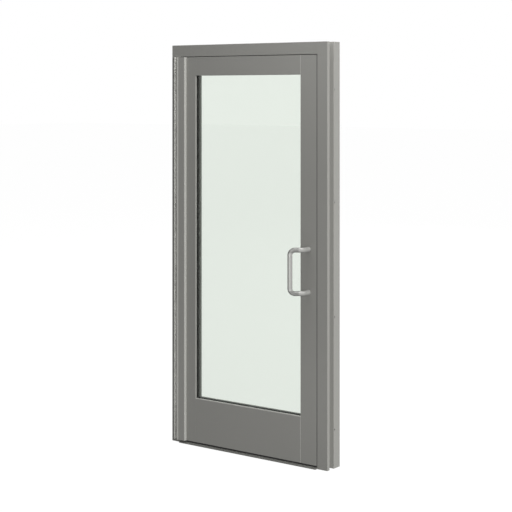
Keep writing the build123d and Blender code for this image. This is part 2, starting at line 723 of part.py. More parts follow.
with BuildPart() as pull_handle:
    with BuildLine() as pull_path:
        FilletPolyline(
            (pull_x, front_y, pull_z0), (pull_x, pull_arm_y, pull_z0),
            (pull_grip_x, pull_grip_y, pull_z0), (pull_grip_x, pull_grip_y, pull_z1),
            (pull_x, pull_arm_y, pull_z1), (pull_x, front_y, pull_z1),
            radius=[pull_base_bend, pull_grip_bend, pull_grip_bend, pull_base_bend],
        )
    with BuildSketch(Plane.XZ.offset(-front_y)):
        with Locations((pull_x, pull_z0)):
            Circle(pull_radius)
    sweep(path=pull_path.wire())
    with BuildSketch(Plane.XZ.offset(-front_y)):
        with Locations((pull_x, pull_z0), (pull_x, pull_z1)):
            Circle(bolt_hole_radius)
    extrude(amount=bolt_bore, mode=Mode.SUBTRACT)
pull_handle.part.label = "pull_handle"
export_step(pull_handle.part, "parts/pull_handle.step")

washer_y = leaf_y1 + washer_thick

with BuildPart() as pull_washers:
    with BuildSketch(Plane.XZ.offset(-washer_y)):
        with Locations((pull_x, pull_z0), (pull_x, pull_z1)):
            Circle(washer_radius)
            Circle(bolt_hole_radius, mode=Mode.SUBTRACT)
    extrude(amount=washer_thick)
pull_washers.part.label = "pull_washers"
export_step(pull_washers.part, "parts/pull_washers.step")

with BuildPart() as pull_bolts:
    with BuildSketch(Plane.XZ.offset(-washer_y - bolt_head_height)):
        with Locations((pull_x, pull_z0), (pull_x, pull_z1)):
            Circle(bolt_head_radius)
    extrude(amount=bolt_head_height)
    with BuildSketch(Plane.XZ.offset(-washer_y)):
        with Locations((pull_x, pull_z0), (pull_x, pull_z1)):
            Circle(bolt_radius)
    extrude(amount=leaf_thick + washer_thick + bolt_entry)
pull_bolts.part.label = "pull_bolts"
export_step(pull_bolts.part, "parts/pull_bolts.step")
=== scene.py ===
"""Looks of the glass door and its frame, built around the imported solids."""

import logging
import math
from dataclasses import dataclass
from enum import Enum
from typing import Dict, Mapping, Optional, Sequence, Tuple, Union

import bpy
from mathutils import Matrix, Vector


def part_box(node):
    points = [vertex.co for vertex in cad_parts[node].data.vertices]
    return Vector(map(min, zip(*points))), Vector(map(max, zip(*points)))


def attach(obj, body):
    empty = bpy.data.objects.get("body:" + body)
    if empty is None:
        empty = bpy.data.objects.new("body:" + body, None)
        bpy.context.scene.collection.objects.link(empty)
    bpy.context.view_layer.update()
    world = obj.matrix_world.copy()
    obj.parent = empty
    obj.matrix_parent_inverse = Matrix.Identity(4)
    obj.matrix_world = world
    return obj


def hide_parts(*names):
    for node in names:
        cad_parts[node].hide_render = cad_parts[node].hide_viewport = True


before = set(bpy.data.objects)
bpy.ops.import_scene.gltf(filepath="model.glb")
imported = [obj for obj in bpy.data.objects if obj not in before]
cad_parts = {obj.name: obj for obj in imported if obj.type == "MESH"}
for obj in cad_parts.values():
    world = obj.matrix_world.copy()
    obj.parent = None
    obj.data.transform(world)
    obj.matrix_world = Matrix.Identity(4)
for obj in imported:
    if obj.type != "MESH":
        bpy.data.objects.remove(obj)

LOG = logging.getLogger("door")
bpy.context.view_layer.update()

Triple = Tuple[float, float, float]
Value = Union[float, int, Sequence[float], "Sock", "list[Sock]"]


class Run(Enum):
    """Way that an extrusion's die lines run."""

    UPRIGHT = "upright"
    ACROSS = "across"


class Axis(Enum):
    """Axis that a band is measured along."""

    X = "X"
    Y = "Y"
    Z = "Z"


class Recess(Enum):
    """Driver recess cut in a screw head."""

    CROSS = 0
    HEX = 1


class Body(Enum):
    """CAD bodies that a piece can ride on."""

    FRAME = "frame"
    LEAF = "leaf"


class Ray(Enum):
    """Rays that the backdrop and the glass tell apart."""

    CAMERA = "Is Camera Ray"
    THROUGH = "Is Transmission Ray"
    GLOSSY = "Is Glossy Ray"
    SHADOW = "Is Shadow Ray"


class Sock:
    """A node output with arithmetic, so that shader sums read as sums."""

    def __init__(self, graph: "Graph", socket: bpy.types.NodeSocket) -> None:
        """Wraps an output.

        Args:
            graph: the graph that holds the node.
            socket: the output socket.
        """
        self.graph = graph
        self.socket = socket

    def _op(self, operation: str, first: Value, second: Value) -> "Sock":
        """Joins two values with one Math node.

        Args:
            operation: the Math node's operation.
            first: left value.
            second: right value.

        Returns:
            The Math node's output.
        """
        return self.graph.node("ShaderNodeMath", {"operation": operation}, {0: first, 1: second})

    def __add__(self, other: Value) -> "Sock":
        """Returns self + other."""
        return self._op("ADD", self, other)

    def __radd__(self, other: Value) -> "Sock":
        """Returns other + self."""
        return self._op("ADD", other, self)

    def __sub__(self, other: Value) -> "Sock":
        """Returns self - other."""
        return self._op("SUBTRACT", self, other)

    def __rsub__(self, other: Value) -> "Sock":
        """Returns other - self."""
        return self._op("SUBTRACT", other, self)

    def __mul__(self, other: Value) -> "Sock":
        """Returns self * other."""
        return self._op("MULTIPLY", self, other)

    def __rmul__(self, other: Value) -> "Sock":
        """Returns other * self."""
        return self._op("MULTIPLY", other, self)

    def __truediv__(self, other: Value) -> "Sock":
        """Returns self / other."""
        return self._op("DIVIDE", self, other)

    def __rtruediv__(self, other: Value) -> "Sock":
        """Returns other / self."""
        return self._op("DIVIDE", other, self)

    def __abs__(self) -> "Sock":
        """Returns self without its sign."""
        return self.graph.node("ShaderNodeMath", {"operation": "ABSOLUTE"}, {0: self})

    def at_least(self, other: Value) -> "Sock":
        """Returns the larger of self and other."""
        return self._op("MAXIMUM", self, other)


class Graph:
    """A node tree that nodes are added to with one method."""

    def __init__(self, tree: bpy.types.NodeTree) -> None:
        """Wraps a tree.

        Args:
            tree: shader or geometry node tree.
        """
        self.tree = tree

    def feed(self, target: bpy.types.NodeSocket, value: Value) -> None:
        """Links or sets one input.

        Args:
            target: the input socket.
            value: an output to link, a list of outputs to link, or a constant to set.
        """
        if isinstance(value, list):
            for part in value:
                self.feed(target, part)
        elif isinstance(value, Sock):
            self.tree.links.new(value.socket, target)
        else:
            target.default_value = value

    def node(
        self,
        kind: str,
        settings: Optional[Mapping[str, object]] = None,
        inputs: Optional[Mapping[Union[str, int], Value]] = None,
        out: Union[str, int] = 0,
    ) -> Sock:
        """Adds a node: settings first, then its sockets.

        Args:
            kind: the node's type name.
            settings: node properties.
            inputs: socket name or index to value.
            out: name or index of the output to return.

        Returns:
            The chosen output.
        """
        made = self.tree.nodes.new(kind)
        for key, value in (settings or {}).items():
            setattr(made, key, value)
        for key, value in (inputs or {}).items():
            self.feed(made.inputs[key], value)
        return Sock(self, made.outputs[out])

    def ray(self, kind: Ray) -> Sock:
        """Returns 1 on rays of a kind and 0 on others."""
        return self.node("ShaderNodeLightPath", out=kind.value)

    def along(self, axis: Axis) -> Sock:
        """Returns the object's own coordinate along an axis."""
        place = self.node("ShaderNodeTexCoord", out="Object")
        return self.node("ShaderNodeSeparateXYZ", None, {0: place}, axis.value)


LINE_DETAIL = 3.0
CLOUD_DETAIL = 2.0
GRAIN_DETAIL = 1.0
WAVE_DETAIL = 0.0
NOISE_MEAN = 0.5
MIX_FACTOR, MIX_FIRST, MIX_SECOND, MIX_COLOUR = 0, 6, 7, 2


@dataclass(frozen=True)
class Finish:
    """A procedural surface finish.

    Attributes:
        name: material name.
        base: linear base colour.
        roughness: mean roughness.
        metallic: metal share.
    """

    name: str
    base: Triple
    roughness: float
    metallic: float = 0.0

    def build(self) -> bpy.types.Material:
        """Makes the material.

        Returns:
            The new material.
        """
        material = bpy.data.materials.new(self.name)
        material.use_nodes = True
        tree = material.node_tree
        bsdf = tree.nodes["Principled BSDF"]
        bsdf.inputs["Base Color"].default_value = (*self.base, 1.0)
        bsdf.inputs["Roughness"].default_value = self.roughness
        bsdf.inputs["Metallic"].default_value = self.metallic
        self.shade(Graph(tree), bsdf)
        material.diffuse_color = (*self.base, 1.0)
        LOG.info("finish %s", self.name)
        return material

    def shade(self, graph: Graph, bsdf: bpy.types.Node) -> None:
        """Adds the finish's own nodes.

        Args:
            graph: the material's graph.
            bsdf: its Principled node.
        """

    def noise(self, graph: Graph, scale: Sequence[float], detail: float = CLOUD_DETAIL) -> Sock:
        """Noise over the piece's own place, stretched by scale.

        Args:
            graph: the material's graph.
            scale: cycles per metre along X, Y and Z.
            detail: noise octaves.

        Returns:
            Noise from -0.5 to 0.5.
        """
        place = graph.node("ShaderNodeTexCoord", out="Object")
        spread = graph.node("ShaderNodeMapping", {"vector_type": "POINT"}, {"Vector": place, "Scale": scale})
        raw = graph.node("ShaderNodeTexNoise", None, {"Vector": spread, "Scale": 1.0, "Detail": detail})
        return raw - NOISE_MEAN

    def tinted(self, graph: Graph, share: Value) -> Sock:
        """The base colour scaled by a share.

        Args:
            graph: the material's graph.
            share: brightness share around 1.

        Returns:
            A colour output.
        """
        grey = graph.node("ShaderNodeCombineColor", None, {0: share, 1: share, 2: share})
        return graph.node(
            "ShaderNodeMix", {"data_type": "RGBA", "blend_type": "MULTIPLY"},
            {MIX_FACTOR: 1.0, MIX_FIRST: (*self.base, 1.0), MIX_SECOND: grey}, MIX_COLOUR,
        )

    def relief(self, graph: Graph, bsdf: bpy.types.Node, height: Sock, strength: float, depth: float) -> None:
        """Bumps the surface.

        Args:
            graph: the material's graph.
            bsdf: its Principled node.
            height: height over the surface.
            strength: bump strength.
            depth: bump distance, in metres.
        """
        bump = graph.node("ShaderNodeBump", None, {"Strength": strength, "Distance": depth, "Height": height})
        graph.feed(bsdf.inputs["Normal"], bump)


@dataclass(frozen=True)
class Band:
    """Range of one coordinate.

    Attributes:
        axis: the coordinate.
        middle: middle of the range, in metres.
        reach: half its width.
        soft: share of the reach over which it fades out.
    """

    axis: Axis
    middle: float
    reach: float
    soft: float = 0.4

    def share(self, graph: Graph) -> Sock:
        """Tells where a point lies in the range.

        Args:
            graph: the material's graph.

        Returns:
            1 inside, falling to 0 at the range's ends.
        """
        away = abs(graph.along(self.axis) - self.middle)
        full = self.reach * (1.0 - self.soft)
        return graph.node(
            "ShaderNodeMapRange", {"interpolation_type": "SMOOTHSTEP"},
            {"Value": away, "From Min": self.reach, "From Max": full, "To Min": 0.0, "To Max": 1.0},
        )


@dataclass(frozen=True)
class PaintedLight:
    """Band of painted light or shade: brighter or darker base colour that stands in for a highlight or a
    shade.

    Attributes:
        gain: brightness added, or lost where it is negative.
        bands: ranges that hold it, all at once.
    """

    gain: float
    bands: Tuple[Band, ...]

    def patch(self, graph: Graph) -> Sock:
        """Draws the patch.

        Args:
            graph: the material's graph.

        Returns:
            Its gain, falling to 0 at its edges.
        """
        share = self.bands[0].share(graph)
        for band in self.bands[1:]:
            share = share * band.share(graph)
        return share * self.gain


def rubbed(graph: Graph, share: Sock, painted_light: Sequence[PaintedLight]) -> Sock:
    """Adds painted light and shade to a brightness share.

    Args:
        graph: the material's graph.
        share: brightness share before them.
        painted_light: the patches of painted light or shade.

    Returns:
        The share with them.
    """
    # painted light and shade: each patch brightens or darkens the base colour
    for rub in painted_light:
        share = share + rub.patch(graph)
    return share


@dataclass(frozen=True)
class CoatedMetal(Finish):
    """Satin coat over an extrusion: faint die lines, cloudy tone and fine peel.

    Attributes:
        run: way that the die lines run.
        painted_light: patches of painted highlight or shade.
        tone: colour change of the clouds.
        streak: colour change of the die lines and the grain.
        line_dull: roughness change of the die lines.
        cloud_dull: roughness change of the clouds.
        peel: bump strength.
        peel_depth: bump distance, in metres.
        line_height: height of the die lines against the grain.
        clouds: cloud cycles per metre.
        fine: cycles per metre across the die lines.
        coarse: cycles per metre along them.
        grain: grain cycles per metre.
    """

    run: Run = Run.UPRIGHT
    painted_light: Tuple[PaintedLight, ...] = ()
    tone: float = 0.05
    streak: float = 0.03
    line_dull: float = 0.10
    cloud_dull: float = 0.06
    peel: float = 0.03
    peel_depth: float = 0.0004
    line_height: float = 0.6
    clouds: Triple = (2.2, 2.2, 1.1)
    fine: float = 260.0
    coarse: float = 1.4
    grain: float = 900.0

    def shade(self, graph: Graph, bsdf: bpy.types.Node) -> None:
        """Adds cloud, die lines and peel to the coat.

        Args:
            graph: the material's graph.
            bsdf: its Principled node.
        """
        upright = self.run is Run.UPRIGHT
        ways = (self.fine, self.fine, self.coarse) if upright else (self.coarse, self.fine, self.fine)
        cloud = self.noise(graph, self.clouds)
        lines = self.noise(graph, ways, LINE_DETAIL)
        grain = self.noise(graph, (self.grain, self.grain, self.grain), GRAIN_DETAIL)
        share = 1.0 + cloud * self.tone + lines * self.streak + grain * self.streak
        dull = self.roughness + lines * self.line_dull + cloud * self.cloud_dull
        # the base colour carries the painted highlights and shades
        graph.feed(bsdf.inputs["Base Color"], self.tinted(graph, rubbed(graph, share, self.painted_light)))
        graph.feed(bsdf.inputs["Roughness"], dull)
        self.relief(graph, bsdf, grain + lines * self.line_height, self.peel, self.peel_depth)


@dataclass(frozen=True)
class BrushedBar(Finish):
    """Satin brushed bar: fine scratches round the bar and a little smudge.

    Attributes:
        painted_light: patches of painted highlight or shade.
        scratch: colour change of the scratches.
        line_dull: roughness change of the scratches.
        smudge_dull: roughness change of the smudges.
        relief_strength: bump strength.
        relief_depth: bump distance, in metres.
        lines: scratch cycles per metre.
        smudges: smudge cycles per metre.
    """

    painted_light: Tuple[PaintedLight, ...] = ()
    scratch: float = 0.10
    line_dull: float = 0.14
    smudge_dull: float = 0.08
    relief_strength: float = 0.05
    relief_depth: float = 0.0002
    lines: Triple = (60.0, 60.0, 2600.0)
    smudges: Triple = (18.0, 18.0, 9.0)

    def shade(self, graph: Graph, bsdf: bpy.types.Node) -> None:
        """Adds brush lines and handling marks.

        Args:
            graph: the material's graph.
            bsdf: its Principled node.
        """
        lines = self.noise(graph, self.lines, LINE_DETAIL)
        smudge = self.noise(graph, self.smudges)
        # the base colour carries the painted shade at the bends
        share = rubbed(graph, 1.0 + lines * self.scratch, self.painted_light)
        dull = self.roughness + lines * self.line_dull + smudge * self.smudge_dull
        graph.feed(bsdf.inputs["Base Color"], self.tinted(graph, share))
        graph.feed(bsdf.inputs["Roughness"], dull)
        self.relief(graph, bsdf, lines, self.relief_strength, self.relief_depth)


@dataclass(frozen=True)
class MillMetal(Finish):
    """Bare metal with rolling lines and dull patches.

    Attributes:
        line_tone: colour change of the rolling lines.
        dull_tone: colour change of the dull patches.
        dulling: roughness change of the dull patches.
        relief_strength: bump strength.
        relief_depth: bump distance, in metres.
        lines: rolling-line cycles per metre.
        patches: dull-patch cycles per metre.
    """

    line_tone: float = 0.12
    dull_tone: float = 0.10
    dulling: float = 0.16
    relief_strength: float = 0.06
    relief_depth: float = 0.0002
    lines: Triple = (2.0, 700.0, 700.0)
    patches: Triple = (14.0, 14.0, 14.0)

    def shade(self, graph: Graph, bsdf: bpy.types.Node) -> None:
        """Adds rolling lines and dulling.

        Args:
            graph: the material's graph.
            bsdf: its Principled node.
        """
        lines = self.noise(graph, self.lines, LINE_DETAIL)
        dull = self.noise(graph, self.patches)
        share = 1.0 + lines * self.line_tone + dull * self.dull_tone
        graph.feed(bsdf.inputs["Base Color"], self.tinted(graph, share))
        graph.feed(bsdf.inputs["Roughness"], self.roughness + dull * self.dulling)
        self.relief(graph, bsdf, lines, self.relief_strength, self.relief_depth)


@dataclass(frozen=True)
class Rubber(Finish):
    """Black rubber with a dusty bloom.

    Attributes:
        shine: specular level.
        bloom_tone: colour change of the bloom.
        bloom_dull: roughness change of the bloom.
        relief_strength: bump strength.
        relief_depth: bump distance, in metres.
        blooms: bloom cycles per metre.
        pores: pore cycles per metre.
    """

    shine: float = 0.15
    bloom_tone: float = 0.4
    bloom_dull: float = 0.15
    relief_strength: float = 0.08
    relief_depth: float = 0.0002
    blooms: Triple = (30.0, 30.0, 30.0)
    pores: Triple = (1500.0, 1500.0, 1500.0)

    def shade(self, graph: Graph, bsdf: bpy.types.Node) -> None:
        """Adds bloom and pores.

        Args:
            graph: the material's graph.
            bsdf: its Principled node.
        """
        bsdf.inputs["Specular IOR Level"].default_value = self.shine
        bloom = self.noise(graph, self.blooms)
        pores = self.noise(graph, self.pores, GRAIN_DETAIL)
        graph.feed(bsdf.inputs["Base Color"], self.tinted(graph, 1.0 + bloom * self.bloom_tone))
        graph.feed(bsdf.inputs["Roughness"], self.roughness + bloom * self.bloom_dull)
        self.relief(graph, bsdf, pores, self.relief_strength, self.relief_depth)


@dataclass(frozen=True)
class Glass(Finish):
    """Float glass with a faint green body and roller-wave unevenness.

    Attributes:
        ior: index of refraction.
        wave: colour change of the roller wave.
        passed: share of light that a shadow lets through.
        waves: roller-wave cycles per metre.
    """

    ior: float = 1.45
    wave: float = 0.002
    passed: float = 0.6
    waves: Triple = (1.5, 1.5, 3.0)

    def shade(self, graph: Graph, bsdf: bpy.types.Node) -> None:
        """Sets transmission, adds the wave and lets light through in shadows.

        Args:
            graph: the material's graph.
            bsdf: its Principled node.
        """
        bsdf.inputs["Transmission Weight"].default_value = 1.0
        bsdf.inputs["IOR"].default_value = self.ior
        wave = self.noise(graph, self.waves, WAVE_DETAIL)
        graph.feed(bsdf.inputs["Base Color"], self.tinted(graph, 1.0 + wave * self.wave))
        let_through = tuple(self.passed * part for part in self.base)
        clear = graph.node("ShaderNodeBsdfTransparent", None, {"Color": (*let_through, 1.0)})
        body = Sock(graph, bsdf.outputs["BSDF"])
        both = graph.node("ShaderNodeMixShader", None, {0: graph.ray(Ray.SHADOW), 1: body, 2: clear})
        graph.feed(graph.tree.nodes["Material Output"].inputs["Surface"], both)


class Paints:
    """Materials made so far, one for each finish."""

    def __init__(self) -> None:
        """Starts with none."""
        self.made: Dict[Finish, bpy.types.Material] = {}

    def of(self, finish: Finish) -> bpy.types.Material:
        """Makes a finish's material once.

        Args:
            finish: the finish.

        Returns:
            Its material.
        """
        if finish not in self.made:
            self.made[finish] = finish.build()
        return self.made[finish]


@dataclass
class Fitted:
    """Piece that stands for a CAD node.

    Attributes:
        name: piece name.
        replaces: CAD node that it stands for.
        body: CAD body that it rides on.
        slot: record slot of its finish; not used.
    """

    name: str
    replaces: str
    body: Body
    slot: str

    def seat(self, mesh: bpy.types.Mesh, material: bpy.types.Material) -> bpy.types.Object:
        """Makes a piece from a mesh and seats it on its body.

        Args:
            mesh: its mesh.
            material: its finish, where the mesh has none yet.

        Returns:
            The finished piece.
        """
        if not mesh.materials:
            mesh.materials.append(material)
        piece = bpy.data.objects.new(self.name, mesh)
        bpy.context.scene.collection.objects.link(piece)
        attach(piece, self.body.value)
        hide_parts(self.replaces)
        LOG.info("%s: %d faces", self.name, len(mesh.polygons))
        return piece


SCREW_GROUP = "screw_row"
SCREW_SOCKETS = (
    ("Start", "NodeSocketVector"), ("Step", "NodeSocketVector"), ("Count", "NodeSocketInt"),
    ("Seat Radius", "NodeSocketFloat"), ("Crown Radius", "NodeSocketFloat"),
    ("Head Height", "NodeSocketFloat"), ("Shank Radius", "NodeSocketFloat"),
    ("Shank Length", "NodeSocketFloat"), ("Turn", "NodeSocketFloat"),
    ("Hex Recess", "NodeSocketBool"), ("Material", "NodeSocketMaterial"),
)
HEAD_SIDES = 40
SHANK_SIDES = 24
HEX_SIDES = 6
CROSS_LONG_SHARE = 1.05
CROSS_SLIM_SHARE = 0.24
HEX_SHARE = 0.5
RECESS_LIFT_SHARE = 0.9
SHANK_SINK_SHARE = -0.5


@dataclass
class ScrewRow(Fitted):
    """A row of screws made with Geometry Nodes.

    Attributes:
        start: first screw's head seat, in metres.
        step: from one screw to the next, in metres.
        count: screws in the row.
        seat_radius: head radius at the seat.
        crown_radius: head radius at the outer face.
        head_height: head height.
        shank_radius: shank radius.
        shank_length: shank length.
        outward: +1 where heads face +Y, -1 where they face -Y.
        recess: driver recess.
    """

    start: Triple
    step: Triple
    count: int
    seat_radius: float
    crown_radius: float
    head_height: float
    shank_radius: float
    shank_length: float
    outward: int
    recess: Recess

    @staticmethod
    def head(graph: Graph, given: Mapping[str, Sock]) -> Sock:
        """Makes one head with its recess.

        Args:
            graph: the group's graph.
            given: the group's inputs by name.

        Returns:
            The head's mesh.
        """
        seat, crown, deep = given["Seat Radius"], given["Crown Radius"], given["Head Height"]
        blank = graph.node(
            "GeometryNodeMeshCone", {"fill_type": "NGON"},
            {"Vertices": HEAD_SIDES, "Radius Top": crown, "Radius Bottom": seat, "Depth": deep}, "Mesh",
        )
        arm = crown * CROSS_LONG_SHARE
        slim = crown * CROSS_SLIM_SHARE
        bars = []
        for size in ((arm, slim, deep), (slim, arm, deep)):
            box = graph.node("ShaderNodeCombineXYZ", None, dict(enumerate(size)))
            bars.append(graph.node("GeometryNodeMeshCube", None, {"Size": box}, "Mesh"))
        cross = graph.node("GeometryNodeMeshBoolean", {"operation": "UNION"}, {"Mesh 2": bars}, "Mesh")
        hexagon = graph.node(
            "GeometryNodeMeshCylinder", {"fill_type": "NGON"},
            {"Vertices": HEX_SIDES, "Radius": crown * HEX_SHARE, "Depth": deep}, "Mesh",
        )
        tool = graph.node(
            "GeometryNodeSwitch", {"input_type": "GEOMETRY"},
            {"Switch": given["Hex Recess"], "False": cross, "True": hexagon}, "Output",
        )
        lift = graph.node("ShaderNodeCombineXYZ", None, {2: deep * RECESS_LIFT_SHARE})
        tool = graph.node("GeometryNodeTransform", None, {"Geometry": tool, "Translation": lift})
        return graph.node(
            "GeometryNodeMeshBoolean", {"operation": "DIFFERENCE"}, {"Mesh 1": blank, "Mesh 2": tool}, "Mesh"
        )

    @staticmethod
    def shank(graph: Graph, given: Mapping[str, Sock]) -> Sock:
        """Makes one shank.

        Args:
            graph: the group's graph.
            given: the group's inputs by name.

        Returns:
            The shank's mesh.
        """
        length = given["Shank Length"]
        rod = graph.node(
            "GeometryNodeMeshCylinder", {"fill_type": "NGON"},
            {"Vertices": SHANK_SIDES, "Radius": given["Shank Radius"], "Depth": length}, "Mesh",
        )
        sink = graph.node("ShaderNodeCombineXYZ", None, {2: length * SHANK_SINK_SHARE})
        return graph.node("GeometryNodeTransform", None, {"Geometry": rod, "Translation": sink})

    @classmethod
    def group(cls) -> bpy.types.NodeTree:
        """Builds the screw row's node group once.

        Returns:
            The geometry node group.
        """
        found = bpy.data.node_groups.get(SCREW_GROUP)
        if found:
            return found
        tree = bpy.data.node_groups.new(SCREW_GROUP, "GeometryNodeTree")
        face = tree.interface
        face.new_socket("Geometry", in_out="INPUT", socket_type="NodeSocketGeometry")
        for label, kind in SCREW_SOCKETS:
            face.new_socket(label, in_out="INPUT", socket_type=kind)
        face.new_socket("Geometry", in_out="OUTPUT", socket_type="NodeSocketGeometry")
        graph = Graph(tree)
        source = tree.nodes.new("NodeGroupInput")
        given = {label: Sock(graph, source.outputs[label]) for label, _ in SCREW_SOCKETS}
        parts = [cls.head(graph, given), cls.shank(graph, given)]
        whole = graph.node("GeometryNodeJoinGeometry", None, {"Geometry": parts})
        turn = graph.node("ShaderNodeCombineXYZ", None, {0: given["Turn"]})
        stood = graph.node("GeometryNodeTransform", None, {"Geometry": whole, "Rotation": turn})
        line = graph.node(
            "GeometryNodeMeshLine", {"mode": "OFFSET"},
            {"Count": given["Count"], "Start Location": given["Start"], "Offset": given["Step"]}, "Mesh",
        )
        placed = graph.node("GeometryNodeInstanceOnPoints", None, {"Points": line, "Instance": stood})
        real = graph.node("GeometryNodeRealizeInstances", None, {"Geometry": placed})
        coat = given["Material"]
        dressed = graph.node("GeometryNodeSetMaterial", None, {"Geometry": real, "Material": coat})
        graph.feed(tree.nodes.new("NodeGroupOutput").inputs["Geometry"], dressed)
        return tree

    def build(self, material: bpy.types.Material) -> bpy.types.Object:
        """Makes the row as a plain mesh and seats it on its body.

        Args:
            material: the screws' finish.

        Returns:
            The finished piece.
        """
        tree = self.group()
        rough = bpy.data.objects.new(self.name + "_nodes", bpy.data.meshes.new(self.name + "_nodes"))
        bpy.context.scene.collection.objects.link(rough)
        modifier = rough.modifiers.new("row", "NODES")
        modifier.node_group = tree
        values = {
            "Start": self.start, "Step": self.step, "Count": self.count,
            "Seat Radius": self.seat_radius, "Crown Radius": self.crown_radius,
            "Head Height": self.head_height, "Shank Radius": self.shank_radius,
            "Shank Length": self.shank_length, "Turn": -self.outward * math.pi / 2,
            "Hex Recess": self.recess is Recess.HEX, "Material": material,
        }
        for item in tree.interface.items_tree:
            if item.in_out == "INPUT" and item.name in values:
                modifier[item.identifier] = values[item.name]
        bpy.context.view_layer.update()
        graph = bpy.context.evaluated_depsgraph_get()
        mesh = bpy.data.meshes.new_from_object(rough.evaluated_get(graph), depsgraph=graph)
        bpy.data.objects.remove(rough)
        mesh.name = self.name
        return self.seat(mesh, material)


@dataclass
class LipSeal(Fitted):
    """Seal on the leaf's lock edge, with a rounded nose that fills the gap; made thicker and brought forward
    past its CAD block, so that its black also paints the gap's shade.

    Attributes:
        nose: how far it comes forward of its CAD block, in metres, to show more black as painted shade.
        swell: how much thicker it is than its CAD block, to show more black as painted shade.
        rounding: radius of its nose.
        steps: facets of the rounding.
    """

    # painted shade: nose and swell enlarge a real seal so its black darkens the gap
    nose: float = 0.00065
    swell: float = 0.0007
    rounding: float = 0.0005
    steps: int = 5

    def profile(self, low: Vector, high: Vector) -> Sequence[Tuple[float, float]]:
        """Draws the cross-section.

        Args:
            low: low corner of the CAD block.
            high: high corner of the CAD block.

        Returns:
            Points in X and Y, anticlockwise.
        """
        right = high.x + self.swell
        front = low.y - self.nose
        turns = [math.pi / 2 * step / self.steps for step in range(self.steps + 1)]
        arc = [
            (right - self.rounding * (1 - math.sin(turn)), front + self.rounding * (1 - math.cos(turn)))
            for turn in turns
        ]
        return [(low.x, front), *arc, (right, high.y), (low.x, high.y)]

    def build(self, material: bpy.types.Material) -> bpy.types.Object:
        """Makes the seal and seats it on its body.

        Args:
            material: the seal's finish.

        Returns:
            The finished piece.
        """
        low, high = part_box(self.replaces)
        ring = self.profile(low, high)
        count = len(ring)
        points = [(x, y, z) for z in (low.z, high.z) for x, y in ring]
        sides = [(i, (i + 1) % count, count + (i + 1) % count, count + i) for i in range(count)]
        caps = [tuple(reversed(range(count))), tuple(range(count, 2 * count))]
        mesh = bpy.data.meshes.new(self.name)
        mesh.from_pydata(points, [], sides + caps)
        return self.seat(mesh, material)


GREY: Triple = (0.168, 0.167, 0.156)
PALE: Triple = (0.192, 0.191, 0.179)
COAT_ROUGHNESS = 0.40
COAT_METAL = 0.25
UPRIGHT_COAT = CoatedMetal("coat_upright", GREY, COAT_ROUGHNESS, COAT_METAL, Run.UPRIGHT)
ACROSS_COAT = CoatedMetal("coat_across", GREY, COAT_ROUGHNESS, COAT_METAL, Run.ACROSS)
FLOAT_GLASS = Glass("float_glass", (0.902, 0.932, 0.897), 0.0)
BLACK_RUBBER = Rubber("black_rubber", (0.016, 0.016, 0.0155), 0.75)
SPACER_BLACK = Rubber("spacer_black", (0.010, 0.010, 0.0095), 0.70)
# the threshold's dark base is partly its own colour and partly painted shade for the gap under the leaf
THRESHOLD_METAL = MillMetal("threshold_metal", (0.16, 0.16, 0.15), 0.45, 0.6)
MILL_METAL = MillMetal("mill_metal", (0.42, 0.42, 0.405), 0.42, 0.9)
ZINC_STEEL = MillMetal("zinc_steel", (0.50, 0.50, 0.49), 0.36, 1.0)
Coats = Sequence[Tuple[Finish, Sequence[str]]]


@dataclass
class Assembly:
    """A sub-assembly of the door."""

    def coats(self) -> Coats:
        """Returns each finish with the CAD nodes that wear it."""
        return ()

    def build(self, paints: Paints) -> None:
        """Makes the pieces that stand for CAD nodes.

        Args:
            paints: the materials.
        """

    def dress(self, paints: Paints) -> None:
        """Gives each CAD node its finish.

        Args:
            paints: the materials.
        """
        for finish, names in self.coats():
            for name in names:
                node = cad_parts[name]
                node.data.materials.clear()
                node.data.materials.append(paints.of(finish))
                LOG.info("%s: %s", name, finish.name)


@dataclass
class Surround(Assembly):
    """Fixed frame: jambs, head, stops, seals, threshold and clips.

    Attributes:
        pocket_front: from the jambs' front to their outer pocket, in metres.
        pocket_width: the pocket's width.
        pocket_depth: its depth.
        pocket_light_edge: how far the painted light on the pocket walls reaches past them.
        pocket_light_gain: how much brighter the painted light makes the pocket walls.
        front_soft: share over which the painted light fades out from front to back.
        depth_soft: share over which the painted light fades out across.
    """

    pocket_front: float = 0.020
    pocket_width: float = 0.0384
    pocket_depth: float = 0.030
    pocket_light_edge: float = 0.001
    pocket_light_gain: float = 0.56
    front_soft: float = 0.05
    depth_soft: float = 0.03

    def pockets(self) -> Tuple[PaintedLight, ...]:
        """Finds the jambs' pocket walls, which get painted light.

        Returns:
            One patch of painted light for each jamb.
        """
        low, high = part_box("jamb_lock")
        half = self.pocket_width / 2
        deep = self.pocket_depth / 2
        along = Band(Axis.Y, low.y + self.pocket_front + half, half + self.pocket_light_edge, self.front_soft)
        middle = high.x - deep + self.pocket_light_edge
        across = [Band(Axis.X, side * middle, deep, self.depth_soft) for side in (-1.0, 1.0)]
        return tuple(PaintedLight(self.pocket_light_gain, (along, band)) for band in across)

    def coats(self) -> Coats:
        """Lists the frame's finishes.

        Returns:
            Each finish with the CAD nodes that wear it.
        """
        # painted light: the jambs' coat brightens the walls of their outer pocket
        jambs = CoatedMetal("coat_jamb_painted_light", GREY, COAT_ROUGHNESS, COAT_METAL, Run.UPRIGHT, self.pockets())
        return (
            (jambs, ("jamb_hinge", "jamb_lock")),
            (UPRIGHT_COAT, ("stop_hinge", "stop_lock")),
            (ACROSS_COAT, ("head", "stop_head")),
            (BLACK_RUBBER, ("seal_hinge", "seal_lock", "seal_head")),
            (THRESHOLD_METAL, ("threshold",)),
            (MILL_METAL, ("head_clip_hinge", "head_clip_lock")),
            (ZINC_STEEL, ("head_clip_screws",)),
        )


